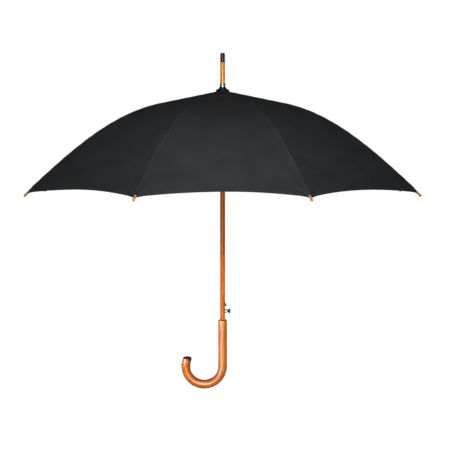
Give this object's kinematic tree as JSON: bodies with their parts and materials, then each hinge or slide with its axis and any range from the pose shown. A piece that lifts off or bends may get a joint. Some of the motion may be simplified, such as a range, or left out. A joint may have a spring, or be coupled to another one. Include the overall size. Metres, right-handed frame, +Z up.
{
  "type": "stick umbrella",
  "caption": "Automatic-opening stick umbrella standing open: panelled black canopy on folding ribs, varnished wooden shaft, top spike and bent crook handle.",
  "frame": {"origin": "on the shaft axis at the middle of the handle's straight grip, where the hand holds it", "axes": "+Z up the shaft to the top spike; the crook curls towards -X; the catch and push button face +X; the tie strap is at the back, towards +Y"},
  "size_m": [0.9466, 0.9466, 0.8455],
  "materials": {
    "wood": "varnished, orange-brown",
    "dark_wood": "dark stained and varnished",
    "canopy_fabric": "black woven pongee, slightly glossy",
    "black_plastic": "black, semi-gloss",
    "black_steel": "black painted steel",
    "steel": "bright plated steel"
  },
  "bodies": {
    "shaft_and_handle": {"shaft": "wood", "handle": "wood", "handle_end_cap": "dark_wood", "top_notch": "black_plastic", "notch_wire": "steel", "canopy": "canopy_fabric", "canopy_cap": "canopy_fabric", "spike_seat": "black_plastic", "spike_collar": "steel", "spike": "wood", "spike_cap": "black_plastic"},
    "runner": {"runner": "black_plastic", "main_spring": "steel"},
    "spring_slider": {"spring_slider": "black_plastic"},
    "push_button": {"push_button": "black_steel", "button_spring": "steel"},
    "bottom_catch": {"bottom_catch": "black_steel"},
    "rib_inner_1": {"rib_inner_1": "black_steel"},
    "rib_outer_1": {"rib_outer_1": "black_steel", "rib_tip_1": "wood"},
    "stretcher_1": {"stretcher_1": "steel"},
    "strut_1": {"strut_1": "steel"},
    "rib_inner_2": {"rib_inner_2": "black_steel"},
    "rib_outer_2": {"rib_outer_2": "black_steel", "rib_tip_2": "wood"},
    "stretcher_2": {"stretcher_2": "steel"},
    "strut_2": {"strut_2": "steel"},
    "rib_inner_3": {"rib_inner_3": "black_steel"},
    "rib_outer_3": {"rib_outer_3": "black_steel", "rib_tip_3": "wood"},
    "stretcher_3": {"stretcher_3": "steel"},
    "strut_3": {"strut_3": "steel"},
    "rib_inner_4": {"rib_inner_4": "black_steel"},
    "rib_outer_4": {"rib_outer_4": "black_steel", "rib_tip_4": "wood", "tie_strap": "canopy_fabric", "strap_stud": "black_steel"},
    "stretcher_4": {"stretcher_4": "steel"},
    "strut_4": {"strut_4": "steel"},
    "rib_inner_5": {"rib_inner_5": "black_steel"},
    "rib_outer_5": {"rib_outer_5": "black_steel", "rib_tip_5": "wood"},
    "stretcher_5": {"stretcher_5": "steel"},
    "strut_5": {"strut_5": "steel"},
    "rib_inner_6": {"rib_inner_6": "black_steel"},
    "rib_outer_6": {"rib_outer_6": "black_steel", "rib_tip_6": "wood"},
    "stretcher_6": {"stretcher_6": "steel"},
    "strut_6": {"strut_6": "steel"},
    "rib_inner_7": {"rib_inner_7": "black_steel"},
    "rib_outer_7": {"rib_outer_7": "black_steel", "rib_tip_7": "wood"},
    "stretcher_7": {"stretcher_7": "steel"},
    "strut_7": {"strut_7": "steel"},
    "rib_inner_8": {"rib_inner_8": "black_steel"},
    "rib_outer_8": {"rib_outer_8": "black_steel", "rib_tip_8": "wood"},
    "stretcher_8": {"stretcher_8": "steel"},
    "strut_8": {"strut_8": "steel"}
  },
  "joints": [
    {"name": "runner_slide", "type": "slide", "parent": "shaft_and_handle", "child": "runner", "axis": [0, 0, -1], "range_m": [0, 0.31751], "stiffness_N_per_m": 60, "springref_m": -0.1, "deforming": ["main_spring", "canopy"]},
    {"name": "slider_slide", "type": "slide", "parent": "shaft_and_handle", "child": "spring_slider", "axis": [0, 0, -1], "range_m": [0, 0.35225]},
    {"name": "rib_hinge_1", "type": "hinge", "parent": "shaft_and_handle", "child": "rib_inner_1", "pos_m": [0.00401, -0.00967, 0.62639], "axis": [0.9239, 0.3827, 0], "range_deg": [0, 74.95]},
    {"name": "rib_flex_1", "type": "hinge", "parent": "rib_inner_1", "child": "rib_outer_1", "pos_m": [0.09228, -0.22279, 0.57091], "axis": [0.9239, 0.3827, 0], "range_deg": [-22.25, 0]},
    {"name": "stretcher_hinge_1", "type": "hinge", "parent": "rib_inner_1", "child": "stretcher_1", "pos_m": [0.09228, -0.22279, 0.57091], "axis": [0.9239, 0.3827, 0], "range_deg": [-134.97, 0]},
    {"name": "strut_hinge_1", "type": "hinge", "parent": "stretcher_1", "child": "strut_1", "pos_m": [0.05304, -0.12805, 0.51459], "axis": [0.9239, 0.3827, 0], "range_deg": [-19.02, 0]},
    {"name": "rib_hinge_2", "type": "hinge", "parent": "shaft_and_handle", "child": "rib_inner_2", "pos_m": [0.00967, -0.00401, 0.62639], "axis": [0.3827, 0.9239, 0], "range_deg": [0, 74.95]},
    {"name": "rib_flex_2", "type": "hinge", "parent": "rib_inner_2", "child": "rib_outer_2", "pos_m": [0.22279, -0.09228, 0.57091], "axis": [0.3827, 0.9239, 0], "range_deg": [-22.25, 0]},
    {"name": "stretcher_hinge_2", "type": "hinge", "parent": "rib_inner_2", "child": "stretcher_2", "pos_m": [0.22279, -0.09228, 0.57091], "axis": [0.3827, 0.9239, 0], "range_deg": [-134.97, 0]},
    {"name": "strut_hinge_2", "type": "hinge", "parent": "stretcher_2", "child": "strut_2", "pos_m": [0.12805, -0.05304, 0.51459], "axis": [0.3827, 0.9239, 0], "range_deg": [-19.02, 0]},
    {"name": "rib_hinge_3", "type": "hinge", "parent": "shaft_and_handle", "child": "rib_inner_3", "pos_m": [0.00967, 0.00401, 0.62639], "axis": [-0.3827, 0.9239, 0], "range_deg": [0, 74.95]},
    {"name": "rib_flex_3", "type": "hinge", "parent": "rib_inner_3", "child": "rib_outer_3", "pos_m": [0.22279, 0.09228, 0.57091], "axis": [-0.3827, 0.9239, 0], "range_deg": [-22.25, 0]},
    {"name": "stretcher_hinge_3", "type": "hinge", "parent": "rib_inner_3", "child": "stretcher_3", "pos_m": [0.22279, 0.09228, 0.57091], "axis": [-0.3827, 0.9239, 0], "range_deg": [-134.97, 0]},
    {"name": "strut_hinge_3", "type": "hinge", "parent": "stretcher_3", "child": "strut_3", "pos_m": [0.12805, 0.05304, 0.51459], "axis": [-0.3827, 0.9239, 0], "range_deg": [-19.02, 0]},
    {"name": "rib_hinge_4", "type": "hinge", "parent": "shaft_and_handle", "child": "rib_inner_4", "pos_m": [0.00401, 0.00967, 0.62639], "axis": [-0.9239, 0.3827, 0], "range_deg": [0, 74.95]},
    {"name": "rib_flex_4", "type": "hinge", "parent": "rib_inner_4", "child": "rib_outer_4", "pos_m": [0.09228, 0.22279, 0.57091], "axis": [-0.9239, 0.3827, 0], "range_deg": [-22.25, 0]},
    {"name": "stretcher_hinge_4", "type": "hinge", "parent": "rib_inner_4", "child": "stretcher_4", "pos_m": [0.09228, 0.22279, 0.57091], "axis": [-0.9239, 0.3827, 0], "range_deg": [-134.97, 0]},
    {"name": "strut_hinge_4", "type": "hinge", "parent": "stretcher_4", "child": "strut_4", "pos_m": [0.05304, 0.12805, 0.51459], "axis": [-0.9239, 0.3827, 0], "range_deg": [-19.02, 0]},
    {"name": "rib_hinge_5", "type": "hinge", "parent": "shaft_and_handle", "child": "rib_inner_5", "pos_m": [-0.00401, 0.00967, 0.62639], "axis": [-0.9239, -0.3827, 0], "range_deg": [0, 74.95]},
    {"name": "rib_flex_5", "type": "hinge", "parent": "rib_inner_5", "child": "rib_outer_5", "pos_m": [-0.09228, 0.22279, 0.57091], "axis": [-0.9239, -0.3827, 0], "range_deg": [-22.25, 0]},
    {"name": "stretcher_hinge_5", "type": "hinge", "parent": "rib_inner_5", "child": "stretcher_5", "pos_m": [-0.09228, 0.22279, 0.57091], "axis": [-0.9239, -0.3827, 0], "range_deg": [-134.97, 0]},
    {"name": "strut_hinge_5", "type": "hinge", "parent": "stretcher_5", "child": "strut_5", "pos_m": [-0.05304, 0.12805, 0.51459], "axis": [-0.9239, -0.3827, 0], "range_deg": [-19.02, 0]},
    {"name": "rib_hinge_6", "type": "hinge", "parent": "shaft_and_handle", "child": "rib_inner_6", "pos_m": [-0.00967, 0.00401, 0.62639], "axis": [-0.3827, -0.9239, 0], "range_deg": [0, 74.95]},
    {"name": "rib_flex_6", "type": "hinge", "parent": "rib_inner_6", "child": "rib_outer_6", "pos_m": [-0.22279, 0.09228, 0.57091], "axis": [-0.3827, -0.9239, 0], "range_deg": [-22.25, 0]},
    {"name": "stretcher_hinge_6", "type": "hinge", "parent": "rib_inner_6", "child": "stretcher_6", "pos_m": [-0.22279, 0.09228, 0.57091], "axis": [-0.3827, -0.9239, 0], "range_deg": [-134.97, 0]},
    {"name": "strut_hinge_6", "type": "hinge", "parent": "stretcher_6", "child": "strut_6", "pos_m": [-0.12805, 0.05304, 0.51459], "axis": [-0.3827, -0.9239, 0], "range_deg": [-19.02, 0]},
    {"name": "rib_hinge_7", "type": "hinge", "parent": "shaft_and_handle", "child": "rib_inner_7", "pos_m": [-0.00967, -0.00401, 0.62639], "axis": [0.3827, -0.9239, 0], "range_deg": [0, 74.95]},
    {"name": "rib_flex_7", "type": "hinge", "parent": "rib_inner_7", "child": "rib_outer_7", "pos_m": [-0.22279, -0.09228, 0.57091], "axis": [0.3827, -0.9239, 0], "range_deg": [-22.25, 0]},
    {"name": "stretcher_hinge_7", "type": "hinge", "parent": "rib_inner_7", "child": "stretcher_7", "pos_m": [-0.22279, -0.09228, 0.57091], "axis": [0.3827, -0.9239, 0], "range_deg": [-134.97, 0]},
    {"name": "strut_hinge_7", "type": "hinge", "parent": "stretcher_7", "child": "strut_7", "pos_m": [-0.12805, -0.05304, 0.51459], "axis": [0.3827, -0.9239, 0], "range_deg": [-19.02, 0]},
    {"name": "rib_hinge_8", "type": "hinge", "parent": "shaft_and_handle", "child": "rib_inner_8", "pos_m": [-0.00401, -0.00967, 0.62639], "axis": [0.9239, -0.3827, 0], "range_deg": [0, 74.95]},
    {"name": "rib_flex_8", "type": "hinge", "parent": "rib_inner_8", "child": "rib_outer_8", "pos_m": [-0.09228, -0.22279, 0.57091], "axis": [0.9239, -0.3827, 0], "range_deg": [-22.25, 0]},
    {"name": "stretcher_hinge_8", "type": "hinge", "parent": "rib_inner_8", "child": "stretcher_8", "pos_m": [-0.09228, -0.22279, 0.57091], "axis": [0.9239, -0.3827, 0], "range_deg": [-134.97, 0]},
    {"name": "strut_hinge_8", "type": "hinge", "parent": "stretcher_8", "child": "strut_8", "pos_m": [-0.05304, -0.12805, 0.51459], "axis": [0.9239, -0.3827, 0], "range_deg": [-19.02, 0]},
    {"name": "button_press", "type": "slide", "parent": "shaft_and_handle", "child": "push_button", "axis": [-1, 0, 0], "range_m": [0, 0.003], "stiffness_N_per_m": 600, "springref_m": -0.003, "deforming": ["button_spring"]},
    {"name": "catch_press", "type": "hinge", "parent": "shaft_and_handle", "child": "bottom_catch", "pos_m": [0.004, 0, 0.112], "axis": [0, 1, 0], "range_deg": [0, 9], "stiffness_Nm_per_rad": 0.25, "springref_deg": -8.59}
  ],
  "couplings": [
    {"joint": "slider_slide", "follows": "runner_slide", "ratio": 1.1063},
    {"joint": "rib_hinge_1", "follows": "runner_slide", "rad_per_m": 4.1172},
    {"joint": "rib_flex_1", "follows": "runner_slide", "rad_per_m": -1.2204},
    {"joint": "stretcher_hinge_1", "follows": "runner_slide", "rad_per_m": -7.4166},
    {"joint": "strut_hinge_1", "follows": "runner_slide", "rad_per_m": -1.0427},
    {"joint": "rib_hinge_2", "follows": "runner_slide", "rad_per_m": 4.1172},
    {"joint": "rib_flex_2", "follows": "runner_slide", "rad_per_m": -1.2204},
    {"joint": "stretcher_hinge_2", "follows": "runner_slide", "rad_per_m": -7.4166},
    {"joint": "strut_hinge_2", "follows": "runner_slide", "rad_per_m": -1.0427},
    {"joint": "rib_hinge_3", "follows": "runner_slide", "rad_per_m": 4.1172},
    {"joint": "rib_flex_3", "follows": "runner_slide", "rad_per_m": -1.2204},
    {"joint": "stretcher_hinge_3", "follows": "runner_slide", "rad_per_m": -7.4166},
    {"joint": "strut_hinge_3", "follows": "runner_slide", "rad_per_m": -1.0427},
    {"joint": "rib_hinge_4", "follows": "runner_slide", "rad_per_m": 4.1172},
    {"joint": "rib_flex_4", "follows": "runner_slide", "rad_per_m": -1.2204},
    {"joint": "stretcher_hinge_4", "follows": "runner_slide", "rad_per_m": -7.4166},
    {"joint": "strut_hinge_4", "follows": "runner_slide", "rad_per_m": -1.0427},
    {"joint": "rib_hinge_5", "follows": "runner_slide", "rad_per_m": 4.1172},
    {"joint": "rib_flex_5", "follows": "runner_slide", "rad_per_m": -1.2204},
    {"joint": "stretcher_hinge_5", "follows": "runner_slide", "rad_per_m": -7.4166},
    {"joint": "strut_hinge_5", "follows": "runner_slide", "rad_per_m": -1.0427},
    {"joint": "rib_hinge_6", "follows": "runner_slide", "rad_per_m": 4.1172},
    {"joint": "rib_flex_6", "follows": "runner_slide", "rad_per_m": -1.2204},
    {"joint": "stretcher_hinge_6", "follows": "runner_slide", "rad_per_m": -7.4166},
    {"joint": "strut_hinge_6", "follows": "runner_slide", "rad_per_m": -1.0427},
    {"joint": "rib_hinge_7", "follows": "runner_slide", "rad_per_m": 4.1172},
    {"joint": "rib_flex_7", "follows": "runner_slide", "rad_per_m": -1.2204},
    {"joint": "stretcher_hinge_7", "follows": "runner_slide", "rad_per_m": -7.4166},
    {"joint": "strut_hinge_7", "follows": "runner_slide", "rad_per_m": -1.0427},
    {"joint": "rib_hinge_8", "follows": "runner_slide", "rad_per_m": 4.1172},
    {"joint": "rib_flex_8", "follows": "runner_slide", "rad_per_m": -1.2204},
    {"joint": "stretcher_hinge_8", "follows": "runner_slide", "rad_per_m": -7.4166},
    {"joint": "strut_hinge_8", "follows": "runner_slide", "rad_per_m": -1.0427}
  ]
}
